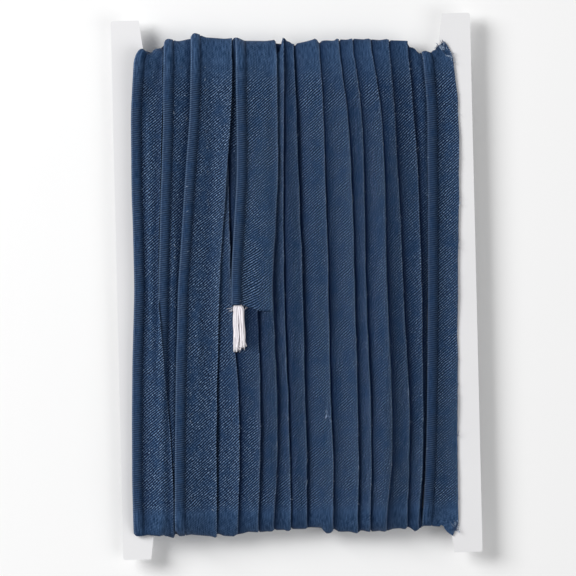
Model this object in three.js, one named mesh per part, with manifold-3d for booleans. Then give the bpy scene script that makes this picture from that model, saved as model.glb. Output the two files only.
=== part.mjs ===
// Card of piping trim: a notched board with satin piping wound round it, in millimetres.
// The card lies on its back: +X runs across it, +Y up it and +Z out of its front.
// The origin is under the middle of the card, on the surface that the winding rests on.
import * as THREE from 'three';
import { mergeVertices } from 'three/addons/utils/BufferGeometryUtils.js';
import Module from 'manifold-3d';

// Driving dimensions of the card
const CARD_WIDTH = 100;
const CARD_LENGTH = 150;
const CARD_THICKNESS = 1;
const CORNER_ROUND = 0.7;
const NOTCH_DEPTH = 12.5;
const PRONG_TIP = 7.8;
const PRONG_ROOT = 9.4;

// Driving dimensions of the piping, a strip folded over a cord
const CORD = 2.7;
const STRIP_WIDTH = 11.5;
const STRIP_PLIES = 1;
const CORD_CROWN = 1.7;
const GAP = 0.3;

// How far the winding stands off the card's middle at the back, where it rests, and its grooves there
const BACK_DEPTH = 5.2;
const BACK_GROOVE = 0.9;
const BACK_OVER_FRONT = 1.7;

// The sections of the turns as they show, from left to right: how far each point is from the turn's left,
// in mm and as a share of the flange, and its relief, how far it stands off the flange
const RAW_EDGE_STEP = 0.8;
const LANE_DIP = 0.25;
const CORD_STEPS = 6;
const FLANGE_SECTION = [
  { mm: 0.02, share: 0, relief: -RAW_EDGE_STEP },
  { mm: 0, share: 0.25, relief: -LANE_DIP },
  { mm: 0, share: 0.6, relief: 0 },
  { mm: 0, share: 0.97, relief: 0 },
];
const CORD_SECTION = [
  { mm: 0.4, share: 0, relief: -RAW_EDGE_STEP },
  ...Array.from({ length: CORD_STEPS + 1 }, (_, i) => {
    const angle = Math.PI * (1 - i / CORD_STEPS);
    const relief = CORD_CROWN - (CORD / 2) * (1 - Math.sin(angle));
    return { mm: 0.05 + (CORD / 2) * (1 + Math.cos(angle)), share: 0, relief };
  }),
  { mm: CORD + 0.1, share: 0.04, relief: -0.45 },
  { mm: CORD, share: 0.5, relief: 0 },
  { mm: CORD, share: 0.97, relief: -0.1 },
];

// Sizes that follow from them
const CARD_MIDDLE = BACK_DEPTH;
const CARD_FACE = CARD_THICKNESS / 2;
const NOTCH_FLOOR = CARD_LENGTH / 2 - NOTCH_DEPTH;
const THROAT = CARD_WIDTH / 2 - PRONG_ROOT - GAP;
const TUNNEL = CARD_FACE + GAP;
const TUNNEL_END = NOTCH_FLOOR + GAP;
const TUNNEL_INSET = 1;

// The heights up the card at which the tables say where a turn lies across it
const LEVELS = [66, 33, 0, -33, -66];

// The turns of the piping that show on the front, from left to right. A cord turn shows its cord at its
// left, a flange turn only what its left neighbour's raw edge leaves open. at: where it starts at each
// level. rise: its flange above the card's face. top, foot: how far up and down the card it reaches.
// behind: how far up it reaches at the back, where that is further.
const TURNS = [
  { kind: 'cord', at: [-42.2, -45.1, -45.1, -46.5, -47], rise: 3.9, top: 65.2, foot: 67.8 },
  { kind: 'cord', at: [-35.4, -36.7, -38.4, -39.5, -40], rise: 4.5, top: 68.6, foot: 69 },
  { kind: 'cord', at: [-27.8, -30, -33, -34.4, -35.3], rise: 4.8, top: 69.9, foot: 69.1 },
  { kind: 'flange', at: [-16.3, -18.5, -21.6, -22.9, -23.9], rise: 3.8, top: 66.8, foot: 69 },
  { kind: 'flange', at: [-15.8, -17.9, -18.1, -16.7, -17.8], rise: 3.9, top: 66.8, foot: 68.6, behind: 69.4 },
  { kind: 'flange', at: [-10.9, -10.9, -10.9, -10.8, -12.3], rise: 3.9, top: 66.8, foot: 68, behind: 68.4 },
  { kind: 'flange', at: [-6.7, -6.7, -6.7, -6, -7.8], rise: 3.9, top: 66.8, foot: 68.2, behind: 68.4 },
  { kind: 'flange', at: [-2, -2.9, -3.5, -3.1, -3.1], rise: 4.1, top: 68.4, foot: 67.8 },
  { kind: 'flange', at: [0.8, 1.2, 1.7, 1.6, 1.4], rise: 4.3, top: 68, foot: 67.4 },
  { kind: 'flange', at: [7.9, 8.7, 8.9, 8.7, 8.6], rise: 4.1, top: 68.4, foot: 68.7 },
  { kind: 'flange', at: [13.4, 15.9, 16.1, 16.2, 15.5], rise: 4.2, top: 68.7, foot: 69.1 },
  { kind: 'flange', at: [17.3, 19.5, 19.2, 19.8, 18.9], rise: 4, top: 68.6, foot: 68.5 },
  { kind: 'flange', at: [22.3, 25.2, 25, 25.7, 23.4], rise: 4.1, top: 68.4, foot: 68.6 },
  { kind: 'flange', at: [27.3, 28.8, 29.6, 30.5, 29.2], rise: 4, top: 67.8, foot: 68.8 },
  { kind: 'flange', at: [32.5, 34.5, 34.8, 34.5, 32.5], rise: 2.4, top: 66, foot: 68 },
  { kind: 'cord', at: [36.1, 37.1, 36.3, 35.3, 33.1], rise: 1.6, top: 64.8, foot: 67.4 },
];
const RIGHT_EDGE = [43.3, 46.1, 44.9, 44.1, 43.3];

// The slow swell of the winding's face, as deep as the cloth sinks between its tightest places
const SWELL_DEPTH = 0.25;
const SWELL_LENGTH = 17;
const SWELL_WIDTH = 9;

// The loose end: where its cord lies at each level, and where it was cut, a little askew
const LOOSE_AT = [-15.5, -16, -18.4, -18.5, -18.5];
const LOOSE_CUT = -5;
const LOOSE_SKEW = 0.16;
const LOOSE_SEAT = 4.4 + GAP;
const LOOSE_SEAT_ON_CREST = 4.3 + GAP;
const LOOSE_FLANGE_LIFT = 0.2;
const LOOSE_END_HEIGHT = 0.6;
const LOOSE_CORD_SIDES = 10;
const LOOSE_CORD_FROM = 30;
const SEAM_WIDTH = 0.2;

// The bare strands of the filler cord. root, rise: where each starts, across and above the cord's middle.
// aside, lift: where it ends, across from there and above its seat. length: how far it reaches.
const STRANDS = [
  { root: -0.5, rise: 0.17, aside: 0, lift: 0.1, length: 12.2 },
  { root: -0.1, rise: 0.03, aside: 0.7, lift: 0.7, length: 11.2 },
  { root: 0.3, rise: -0.1, aside: 1.4, lift: 0.1, length: 11.4 },
  { root: 0.7, rise: -0.23, aside: 2.1, lift: 0.5, length: 11.3 },
];
// How a strand gets from its root to its end, as shares of its length, its way aside and its drop
const STRAND_COURSE = [
  { down: 0, aside: 0, drop: 0 },
  { down: 0.3, aside: 0.3, drop: 0.55 },
  { down: 0.7, aside: 0.8, drop: 1 },
  { down: 1, aside: 1, drop: 1 },
];
const STRAND = 1.1;
const STRAND_SIDES = 8;
const STRAND_STEPS = 7;

// How much of a turn's relief is left where it goes over the card's top and its foot
const TOP_RELIEF = 0.8;
const FOOT_RELIEF = 0.3;

// Steps of the round forms, and the angles of a crest, where a turn goes over the card's end. Past the last
// angle, and at the heights of its two lips, a turn slips in between the prongs.
const FRONT_STEPS = 9;
const BACK_STEPS = 5;
const FACE_END = NOTCH_FLOOR - 4;
const CREST_ANGLES = [90, 72, 54, 36, 18];
const LIP_ANGLE = 9;
const LIP = 1.2;
const LIP_INSIDE = 0.95;
const PRESSED_WIDTH = 12;

const { clamp, degToRad, lerp } = THREE.MathUtils;

// A smooth curve through one row of a table, read at a height up the card
function acrossAt(row, y) {
  const step = (LEVELS[0] - clamp(y, LEVELS.at(-1), LEVELS[0])) / (LEVELS[0] - LEVELS[1]);
  const from = Math.min(Math.floor(step), row.length - 2);
  const share = step - from;
  const [before, start, end, after] = [from - 1, from, from + 1, from + 2].map(
    (i) => row[clamp(i, 0, row.length - 1)],
  );
  const slopes = [(end - before) / 2, (after - start) / 2];
  const [square, cube] = [share ** 2, share ** 3];
  return start * (2 * cube - 3 * square + 1) + end * (3 * square - 2 * cube)
    + slopes[0] * (cube - 2 * square + share) + slopes[1] * (cube - square);
}

// A closed mesh over a grid of points: rings of points, each joined to the next. The last ring joins the
// first, or both are capped.
function ringSolid(rings, capped) {
  const size = rings[0].length;
  const positions = rings.flat().flatMap((point) => [point.x, point.y, point.z]);
  const corner = (ring, i) => (ring % rings.length) * size + (i % size);
  const faces = [];
  for (let ring = 0; ring < rings.length - (capped ? 1 : 0); ring += 1) {
    for (let i = 0; i < size; i += 1) {
      const [a, b] = [corner(ring, i), corner(ring + 1, i)];
      const [c, d] = [corner(ring + 1, i + 1), corner(ring, i + 1)];
      faces.push(a, b, c, a, c, d);
    }
  }
  if (capped) {
    for (const [a, b, c] of capFaces(rings[0])) {
      faces.push(corner(0, a), corner(0, b), corner(0, c));
    }
    for (const [a, b, c] of capFaces(rings.at(-1))) {
      faces.push(corner(rings.length - 1, a), corner(rings.length - 1, c), corner(rings.length - 1, b));
    }
  }
  const geometry = new THREE.BufferGeometry();
  geometry.setAttribute('position', new THREE.Float32BufferAttribute(positions, 3));
  geometry.setIndex(faces);
  return facesOut(geometry);
}

// The triangles of a nearly flat ring, laid out in its own plane and turned the way the ring runs
function capFaces(ring) {
  const middle = new THREE.Vector3();
  ring.forEach((point) => middle.addScaledVector(point, 1 / ring.length));
  const arms = ring.map((point) => point.clone().sub(middle));
  const normal = new THREE.Vector3();
  arms.forEach((arm, i) => normal.add(arm.clone().cross(arms[(i + 1) % arms.length])));
  normal.normalize();
  const side = arms[0].clone().projectOnPlane(normal).normalize();
  const up = normal.clone().cross(side);
  const outline = arms.map((arm) => new THREE.Vector2(arm.dot(side), arm.dot(up)));
  return THREE.ShapeUtils.triangulateShape(outline, []);
}

// Turns a mesh's faces round if its volume comes out negative
function facesOut(geometry) {
  const position = geometry.getAttribute('position');
  const index = geometry.getIndex().array;
  const [a, b, c] = [new THREE.Vector3(), new THREE.Vector3(), new THREE.Vector3()];
  let volume = 0;
  for (let i = 0; i < index.length; i += 3) {
    a.fromBufferAttribute(position, index[i]);
    b.fromBufferAttribute(position, index[i + 1]);
    c.fromBufferAttribute(position, index[i + 2]);
    volume += a.dot(b.cross(c));
  }
  if (volume < 0) {
    for (let i = 0; i < index.length; i += 3) {
      [index[i], index[i + 1]] = [index[i + 1], index[i]];
    }
  }
  geometry.computeVertexNormals();
  return geometry;
}

// The card: a rectangle with a notch in each end, its prongs a little wider at their roots
function cardGeometry() {
  const [right, end] = [CARD_WIDTH / 2, CARD_LENGTH / 2];
  const [tip, root] = [right - PRONG_TIP, right - PRONG_ROOT];
  const shape = new THREE.Shape();
  for (const [x, y] of [[1, 1], [-1, 1], [-1, -1], [1, -1]]) {
    const onSide = [x * right, y * (end - CORNER_ROUND)];
    const onEnd = [x * (right - CORNER_ROUND), y * end];
    const prong = [onSide, [x * right, y * end], onEnd, [x * tip, y * end], [x * root, y * NOTCH_FLOOR]];
    if (x === y) {
      shape[shape.curves.length ? 'lineTo' : 'moveTo'](...prong[0]);
      shape.quadraticCurveTo(...prong[1], ...prong[2]);
      shape.lineTo(...prong[3]);
      shape.lineTo(...prong[4]);
    } else {
      shape.lineTo(...prong[4]);
      shape.lineTo(...prong[3]);
      shape.lineTo(...prong[2]);
      shape.quadraticCurveTo(...prong[1], ...prong[0]);
    }
  }
  shape.closePath();
  const options = { depth: CARD_THICKNESS, bevelEnabled: false, curveSegments: 3 };
  return new THREE.ExtrudeGeometry(shape, options).translate(0, 0, CARD_MIDDLE - CARD_FACE);
}

// Presses the winding's two sides together where it passes between the prongs
function betweenProngs(x, left, right) {
  const free = THROAT - PRESSED_WIDTH;
  if (x < -free) {
    return -free - (-x - free) * Math.min(1, PRESSED_WIDTH / (-left - free));
  }
  if (x > free) {
    return free + (x - free) * Math.min(1, PRESSED_WIDTH / (right - free));
  }
  return x;
}

// The stations of one lap: down the front, round the foot, up the back and over the top. side is 1 at the
// front and -1 at the back, end is 1 at the top and -1 at the foot, and pressed is between the prongs.
function lapStations() {
  const face = (side, steps) => Array.from({ length: steps }, (_, i) => {
    return { side, end: 0, y: side * lerp(FACE_END, -FACE_END, i / (steps - 1)) };
  });
  const crest = (end, side) => {
    const half = CREST_ANGLES.map((angle, i) => {
      return { end, angle: degToRad(angle), pressed: false, inner: i / CREST_ANGLES.length };
    });
    half.push({ end, angle: degToRad(LIP_ANGLE), pressed: true, inner: 1 });
    return [
      ...half.map((station) => ({ ...station, side })),
      { end, angle: 0, pressed: true, inner: 1, side: 0 },
      ...half.toReversed().map((station) => ({ ...station, side: -side })),
    ];
  };
  return [...face(1, FRONT_STEPS), ...crest(-1, 1), ...face(-1, BACK_STEPS), ...crest(1, -1)];
}

// How far a point of a turn stands off the card's middle, at the front or at the back
function standOff(turn, relief, side, x, y) {
  if (side >= 0) {
    const swell = SWELL_DEPTH * Math.sin(y / SWELL_LENGTH + x / SWELL_WIDTH) ** 2;
    return CARD_FACE + turn.rise + relief - swell;
  }
  const belowDip = (-relief - LANE_DIP) / (RAW_EDGE_STEP - LANE_DIP);
  const sunk = turn.kind === 'cord' ? 1 - relief / CORD_CROWN : belowDip;
  return Math.min(BACK_DEPTH, turn.rise + BACK_OVER_FRONT) - BACK_GROOVE * clamp(sunk, 0, 1);
}

// A point of the winding's outside: on turn number i, at one place in its section and at one station
function outsidePoint(i, place, station) {
  const turn = TURNS[i];
  const { end, side, angle } = station;
  const reach = end > 0 ? (side < 0 ? turn.behind ?? turn.top : turn.top) : turn.foot;
  const relief = place.relief * (end > 0 ? TOP_RELIEF : FOOT_RELIEF);
  const y = end ? end * (NOTCH_FLOOR + (reach - NOTCH_FLOOR + relief) * Math.cos(angle)) : station.y;
  const left = acrossAt(turn.at, y);
  const right = acrossAt(TURNS[i + 1]?.at ?? RIGHT_EDGE, y);
  const flange = right - left - (turn.kind === 'cord' ? CORD : 0);
  const x = left + place.mm + place.share * flange;
  if (!end) {
    return new THREE.Vector3(x, y, CARD_MIDDLE + side * standOff(turn, place.relief, side, x, y));
  }
  if (station.pressed) {
    const pressed = betweenProngs(x, acrossAt(TURNS[0].at, y), acrossAt(RIGHT_EDGE, y));
    return new THREE.Vector3(pressed, y, CARD_MIDDLE + side * LIP_INSIDE);
  }
  const lipSine = Math.sin(degToRad(CREST_ANGLES.at(-1)));
  const share = (Math.sin(angle) - lipSine) / (1 - lipSine);
  const height = lerp(LIP, standOff(turn, place.relief, side, x, end * NOTCH_FLOOR), share);
  return new THREE.Vector3(x, y, CARD_MIDDLE + side * height);
}

// A point of the tunnel that the card's web fills, at the winding's left or right
function tunnelPoint(hand, station) {
  const { end, side } = station;
  const y = end ? end * (TUNNEL_END - (1 - station.inner)) : station.y;
  const row = hand < 0 ? TURNS[0].at : RIGHT_EDGE;
  const edge = acrossAt(row, end ? end * LEVELS[0] : y);
  const x = hand * (station.pressed ? THROAT : hand * edge - TUNNEL_INSET);
  return new THREE.Vector3(x, y, CARD_MIDDLE + side * TUNNEL);
}

// The wound piping: one closed ring round the card's web
function windingGeometry() {
  const stations = lapStations();
  const columns = TURNS.flatMap((turn, i) => {
    const section = turn.kind === 'cord' ? CORD_SECTION : FLANGE_SECTION;
    return section.map((place) => stations.map((station) => outsidePoint(i, place, station)));
  });
  const tunnel = [1, -1].map((hand) => stations.map((station) => tunnelPoint(hand, station)));
  return ringSolid([...columns, ...tunnel], false);
}

// The section of the loose end: its cord, and its flange a little above its seat
function looseSection() {
  const radius = CORD / 2;
  const round = Array.from({ length: LOOSE_CORD_SIDES - 1 }, (_, i) => {
    const angle = degToRad(LOOSE_CORD_FROM + (360 * i) / LOOSE_CORD_SIDES);
    return [radius * (1 + Math.cos(angle)), radius * (1 + Math.sin(angle))];
  });
  const [low, high] = [LOOSE_FLANGE_LIFT, LOOSE_FLANGE_LIFT + STRIP_PLIES];
  const seam = CORD + SEAM_WIDTH;
  return [...round, [seam, low], [STRIP_WIDTH, low], [STRIP_WIDTH, high], [seam, high]];
}

// The loose end: over the top of the winding and down the front to its cut
function looseGeometry() {
  const crestEnd = Math.asin(LOOSE_END_HEIGHT / LOOSE_SEAT);
  const angles = [crestEnd, ...CREST_ANGLES.toReversed().map(degToRad)];
  const rings = angles.map((angle) => looseSection().map(([across, height]) => {
    const y = NOTCH_FLOOR + (LOOSE_SEAT_ON_CREST + height) * Math.cos(angle);
    const z = CARD_MIDDLE + (LOOSE_SEAT + height) * Math.sin(angle);
    return new THREE.Vector3(acrossAt(LOOSE_AT, y) + across, y, z);
  }));
  for (let i = 1; i <= FRONT_STEPS; i += 1) {
    rings.push(looseSection().map(([across, height]) => {
      const y = lerp(NOTCH_FLOOR, LOOSE_CUT - LOOSE_SKEW * across, i / FRONT_STEPS);
      return new THREE.Vector3(acrossAt(LOOSE_AT, y) + across, y, CARD_MIDDLE + LOOSE_SEAT + height);
    }));
  }
  return ringSolid(rings, true);
}

// A closed mesh as a solid that can be joined to others
function toSolid(library, geometry) {
  const bare = geometry.clone();
  bare.deleteAttribute('normal');
  bare.deleteAttribute('uv');
  const merged = mergeVertices(bare);
  const vertProperties = Float32Array.from(merged.getAttribute('position').array);
  const triVerts = Uint32Array.from(merged.getIndex().array);
  return new library.Manifold(new library.Mesh({ numProp: 3, vertProperties, triVerts }));
}

// The bare strands of the filler cord, joined where they leave the cut
function coreGeometry(library) {
  const top = LOOSE_CUT - LOOSE_SKEW * CORD - GAP;
  const middle = acrossAt(LOOSE_AT, top) + CORD / 2;
  const seat = CARD_MIDDLE + LOOSE_SEAT;
  const outline = new THREE.Shape().absarc(0, 0, STRAND / 2, 0, Math.PI * 2);
  const strands = STRANDS.map((strand) => {
    const [high, low] = [seat + CORD / 2 + strand.rise, seat + STRAND / 2 + strand.lift];
    const path = new THREE.CatmullRomCurve3(STRAND_COURSE.map(({ down, aside, drop }) => {
      const x = middle + lerp(strand.root, strand.aside, aside);
      return new THREE.Vector3(x, top - strand.length * down, lerp(high, low, drop));
    }));
    const options = { extrudePath: path, steps: STRAND_STEPS, curveSegments: STRAND_SIDES };
    return toSolid(library, new THREE.ExtrudeGeometry(outline, options));
  });
  const mesh = strands.reduce((joined, strand) => joined.add(strand)).getMesh();
  const geometry = new THREE.BufferGeometry();
  geometry.setAttribute('position', new THREE.BufferAttribute(mesh.vertProperties, 3));
  geometry.setIndex(new THREE.BufferAttribute(mesh.triVerts, 1));
  geometry.computeVertexNormals();
  return geometry;
}

const library = await Module();
library.setup();

const board = new THREE.MeshStandardMaterial({ color: 0xe6e7ea, roughness: 0.8, metalness: 0 });
const satin = new THREE.MeshStandardMaterial({ color: 0x22406b, roughness: 0.5, metalness: 0 });
const cotton = new THREE.MeshStandardMaterial({ color: 0xefeef0, roughness: 0.95, metalness: 0 });

const cardOfPiping = new THREE.Group();
for (const [name, geometry, material] of [
  ['card', cardGeometry(), board],
  ['wound_piping', windingGeometry(), satin],
  ['loose_end', looseGeometry(), satin],
  ['core_end', coreGeometry(library), cotton],
]) {
  const mesh = new THREE.Mesh(geometry, material);
  mesh.name = name;
  cardOfPiping.add(mesh);
}

export default cardOfPiping;
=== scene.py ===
import math

import bmesh
import bpy
import numpy as np
from mathutils.bvhtree import BVHTree
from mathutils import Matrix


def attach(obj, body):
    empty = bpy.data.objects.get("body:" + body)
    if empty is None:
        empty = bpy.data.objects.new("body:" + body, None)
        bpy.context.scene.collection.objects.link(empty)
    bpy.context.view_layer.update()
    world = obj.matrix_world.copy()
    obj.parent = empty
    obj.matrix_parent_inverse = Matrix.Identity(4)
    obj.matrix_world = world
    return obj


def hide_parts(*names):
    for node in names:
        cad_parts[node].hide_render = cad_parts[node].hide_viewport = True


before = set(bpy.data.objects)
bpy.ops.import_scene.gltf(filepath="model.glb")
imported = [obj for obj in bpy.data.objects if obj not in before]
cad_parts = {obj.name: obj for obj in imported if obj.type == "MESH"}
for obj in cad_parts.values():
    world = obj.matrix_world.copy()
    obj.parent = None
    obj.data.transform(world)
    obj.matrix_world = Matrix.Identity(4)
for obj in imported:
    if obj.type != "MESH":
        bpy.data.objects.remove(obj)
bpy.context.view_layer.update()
MM = 0.001

# The view: the card lies on a white table and is seen from straight above, from so far away that it hardly
# shows depth. It lies turned a little to the left, so the camera is turned to the right.
VIEW_WIDTH = 160
VIEW_MIDDLE = (-2.4, -0.4, 8)
VIEW_TURN = -1.35
VIEW_END = 10
LENS = 300
SENSOR = 36
view = bpy.data.cameras.new("view")
view.lens = LENS
view.sensor_width = SENSOR
view.clip_end = VIEW_END
camera = bpy.data.objects.new("view", view)
camera.location = [MM * v for v in VIEW_MIDDLE]
camera.location.z += MM * VIEW_WIDTH * LENS / SENSOR
camera.rotation_euler.z = math.radians(VIEW_TURN)
bpy.context.scene.collection.objects.link(camera)
bpy.context.scene.camera = camera


# The card: a stiff white board, die cut to a rectangle with a wide notch at each end that keeps the winding
# in place. Its faces are smooth and faintly mottled, and its cut edges are greyer and rougher.
def feed(tree, socket, value):
    """Gives a socket its value, or the output that it follows."""
    if isinstance(value, bpy.types.NodeSocket):
        tree.links.new(value, socket)
    else:
        socket.default_value = value


def add_node(tree, kind, inputs=(), **settings):
    node = tree.nodes.new(kind)
    for name, value in settings.items():
        setattr(node, name, value)
    for socket, value in dict(inputs).items():
        feed(tree, node.inputs[socket], value)
    return node


def math_node(tree, operation, first, second=0.0, third=0.0):
    node = add_node(tree, "ShaderNodeMath", {0: first, 1: second, 2: third}, operation=operation)
    return node.outputs[0]


def mix_colours(tree, share, first, second):
    """A share of the second colour over the first."""
    node = add_node(tree, "ShaderNodeMix", data_type="RGBA")
    given = {"Factor": share, "A": first, "B": second}
    for socket in node.inputs:
        if socket.enabled and socket.name in given:
            feed(tree, socket, given[socket.name])
    return next(socket for socket in node.outputs if socket.enabled)


def add_noise(tree, place, scale, detail=2, roughness=0.5):
    inputs = {"Vector": place, "Scale": scale, "Detail": detail, "Roughness": roughness}
    return add_node(tree, "ShaderNodeTexNoise", inputs).outputs["Fac"]


def add_relief(tree, shader, height, strength, depth):
    """A fine relief on a finish, at most depth millimetres deep."""
    inputs = {"Height": height, "Strength": strength, "Distance": MM * depth}
    bump = add_node(tree, "ShaderNodeBump", inputs)
    tree.links.new(bump.outputs["Normal"], shader.inputs["Normal"])


def new_material(name, **sockets):
    material = bpy.data.materials.new(name)
    material.use_nodes = True
    shader = material.node_tree.nodes["Principled BSDF"]
    for socket, value in sockets.items():
        shader.inputs[socket.replace("_", " ")].default_value = value
    return material, material.node_tree, shader


BOARD_WHITE = (0.86, 0.86, 0.87, 1)
BOARD_SHADE = (0.78, 0.775, 0.79, 1)
BOARD_EDGE = (0.55, 0.54, 0.53, 1)
board, tree, shader = new_material("white_board", Roughness=0.62)
place = add_node(tree, "ShaderNodeTexCoord").outputs["Object"]
cloud = add_noise(tree, place, scale=35, detail=4)
pulp = add_noise(tree, place, scale=1800, detail=3)
normal = add_node(tree, "ShaderNodeNewGeometry").outputs["Normal"]
facing = add_node(tree, "ShaderNodeSeparateXYZ", {0: normal}).outputs["Z"]
cut_edge = math_node(tree, "LESS_THAN", math_node(tree, "ABSOLUTE", facing), 0.5)
face_colour = mix_colours(tree, cloud, BOARD_WHITE, BOARD_SHADE)
edge_colour = mix_colours(tree, pulp, BOARD_EDGE, BOARD_WHITE)
tree.links.new(mix_colours(tree, cut_edge, face_colour, edge_colour), shader.inputs["Base Color"])
add_relief(tree, shader, pulp, strength=0.12, depth=0.1)
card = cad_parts["card"]
for material_slot in card.material_slots:
    material_slot.material = board

# The piping: one bias strip of navy satin, folded over a cotton cord and stitched beside it, with both its
# raw edges to the right. It is wound from the right to the left, each turn over the cord of the one before,
# and then back over the left part, so that the last turns show their cords.
CARD_MIDDLE = 5.2
CARD_FACE = 0.5
NOTCH_FLOOR = 62.5
CORD = 2.7
STRIP = 11.5
PLIES = 0.55

# Where each turn lies across the card, at seven heights up its front, from the first turn to the last: its
# cord's left, its raw edge, or both. cord: how round its cord still is, as the hidden ones are pressed flat.
LEVELS = [66, 50, 33, 0, -33, -50, -66]
TURNS = [
    {"cord": 0.85, "left": [36.3, 37.6, 37.3, 36.5, 35.5, 34.6, 33.3],
     "raw": [44.7, 46.2, 46.1, 44.9, 44.1, 43.7, 43.5]},
    {"cord": 0.6, "raw": [36.4, 37.7, 37.4, 36.6, 35.6, 34.7, 33.4]},
    {"cord": 0.6, "raw": [32.5, 33.5, 34.5, 34.8, 34.5, 33.9, 32.5]},
    {"cord": 0.6, "raw": [27.3, 28.3, 28.8, 29.6, 30.5, 30.2, 29.2]},
    {"cord": 0.6, "raw": [22.3, 24.5, 25.2, 25, 25.7, 25.3, 23.4]},
    {"cord": 0.6, "raw": [17.3, 19.1, 19.5, 19.2, 19.8, 19.7, 18.9]},
    {"cord": 0.6, "raw": [13.4, 15.2, 15.9, 16.1, 16.2, 16.1, 15.5]},
    {"cord": 0.6, "raw": [7.9, 8.7, 8.7, 8.9, 8.7, 9.1, 8.6]},
    {"cord": 0.6, "raw": [0.8, 1.1, 1.2, 1.7, 1.6, 1.8, 1.4]},
    {"cord": 0.6, "raw": [-2, -2.3, -2.9, -3.5, -3.1, -2.9, -3.1]},
    {"cord": 0.6, "raw": [-6.7, -6.7, -6.7, -6.7, -6, -6.6, -7.8]},
    {"cord": 0.6, "raw": [-10.9, -10.9, -10.9, -10.9, -10.8, -11.2, -12.3]},
    {"cord": 0.6, "raw": [-18.2, -18.2, -18.2, -18.2, -16.7, -17, -17.8]},
    {"cord": 0.6, "raw": [-24, -24, -24, -24.2, -24.4, -24.6, -24.8]},
    {"cord": 0.6, "raw": [-29.5, -29.7, -29.8, -30, -30.2, -30.3, -30.4]},
    {"cord": 0.6, "raw": [-30.2, -33, -33.4, -33.5, -34.8, -35.2, -35.2]},
    {"cord": 0.8, "left": [-43.4, -44.9, -45.1, -45.1, -46.5, -46.9, -47],
     "raw": [-35.6, -36, -36.9, -38.6, -36.4, -35.4, -35.5]},
    {"cord": 0.8, "left": [-35.4, -35.8, -36.7, -38.4, -39.5, -39.7, -40]},
    {"cord": 0.8, "left": [-27.8, -28.3, -30, -33, -34.4, -34.9, -35.3]},
    {"cord": 0.85, "left": [-15.5, -15.6, -15.8, -18.2, -18.5, -18.5, -18.5]},
]
FIRST, DIVING, OVER_TUCKED, TUCKED, LOOSE = 0, 1, 16, 17, 19
# Where the second turn's flange starts to curve down beside the first one's cord, into the gap that it leaves
DIVE_FROM = [35.3, 36.7, 36.1, 34.9, 34.1, 33.7, 32.9]
DIVE_FLOOR = 0.3

# The stations of one lap, which starts half way up the back: up over the card's top, down its front, round
# its foot and up the back again. At the top and the foot they turn about the floor of the notch.
FRONT_STEP = 0.55
BACK_STEP = 1.0
CREST_STATIONS = 34


def lap_stations():
    """Each station's side, its end, how far up the card it is, and how far it has turned round that end."""
    back = np.arange(0, NOTCH_FLOOR, BACK_STEP)
    front = np.arange(NOTCH_FLOOR, -NOTCH_FLOOR, -FRONT_STEP)
    turn = np.linspace(-90, 90, CREST_STATIONS, endpoint=False)
    rows = [(-1, 0, y, 0) for y in back]
    rows += [(0, 1, NOTCH_FLOOR, angle) for angle in turn]
    rows += [(1, 0, y, 0) for y in front]
    rows += [(0, -1, -NOTCH_FLOOR, -angle) for angle in turn]
    rows += [(-1, 0, -y, 0) for y in back[::-1]]
    return np.array(rows, dtype=float).T


side, end, station_y, angle = lap_stations()
angle = np.radians(angle)
STATIONS = len(side)
at_front = side > 0
upper_back = (side < 0) & (np.arange(STATIONS) < STATIONS / 2)
lower_back = (side < 0) & ~upper_back
height_up = np.where(end == 0, station_y, end * LEVELS[0])
crest = np.where(end == 0, 0, np.cos(angle))


def blurred(values, along, across=0):
    """A map with each place evened out over its neighbours, by a bell curve of that many steps."""
    for axis, reach in ((0, along), (1, across)):
        if reach:
            steps = np.rint(np.arange(-3 * reach, 3 * reach + 1)).astype(int)
            weights = np.exp(-0.5 * (steps / reach) ** 2)
            last = values.shape[axis] - 1
            places = np.arange(values.shape[axis])
            values = sum(
                weight * np.take(values, np.clip(places + step, 0, last), axis)
                for weight, step in zip(weights / weights.sum(), steps)
            )
    return values


def wander(count, reach, size, seed):
    """A slow, uneven drift to both sides of nought, of that size on average."""
    noise = np.random.default_rng(seed).normal(size=count)
    noise = blurred(noise[:, None], reach)[:, 0]
    return size * noise / noise.std()


def smooth_step(low, high, value):
    share = np.clip((value - low) / (high - low), 0, 1)
    return share * share * (3 - 2 * share)


def read_row(row, y):
    """A value that is given at the seven heights, at any height."""
    return np.interp(y, LEVELS[::-1], row[::-1])


LEAN_SOFTNESS = 7
EDGE_WANDER = 0.05
TUCKED_WIDTH = 4.6
# Each turn is uneven in its own way, from seeds that go up with its number.
FINE_EDGE_SEED, CORD_LINE_SEED, CORD_SIZE_SEED, CURL_SEED, FLUTTER_SEED = 100, 200, 300, 400, 500
# Where the outermost lines of the winding lean in over the ends: the first turn's raw edge at the top and at
# the foot, and the cord at the far left at the top
FIRST_TOP_LEAN = 1.9
FIRST_TOP_CURVE = 3.5
FIRST_FOOT_LEAN = 1.6
LEFT_TOP_LEAN = 2.5
LIP_TURN = math.radians(25)


def lip_share(turned):
    """How far over the end a turn is where it passes over a prong: it is there well before it turns in."""
    late = np.clip(np.abs(turned) - LIP_TURN, 0, None) / (math.pi / 2 - LIP_TURN)
    return np.cos(late * math.pi / 2)


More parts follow.
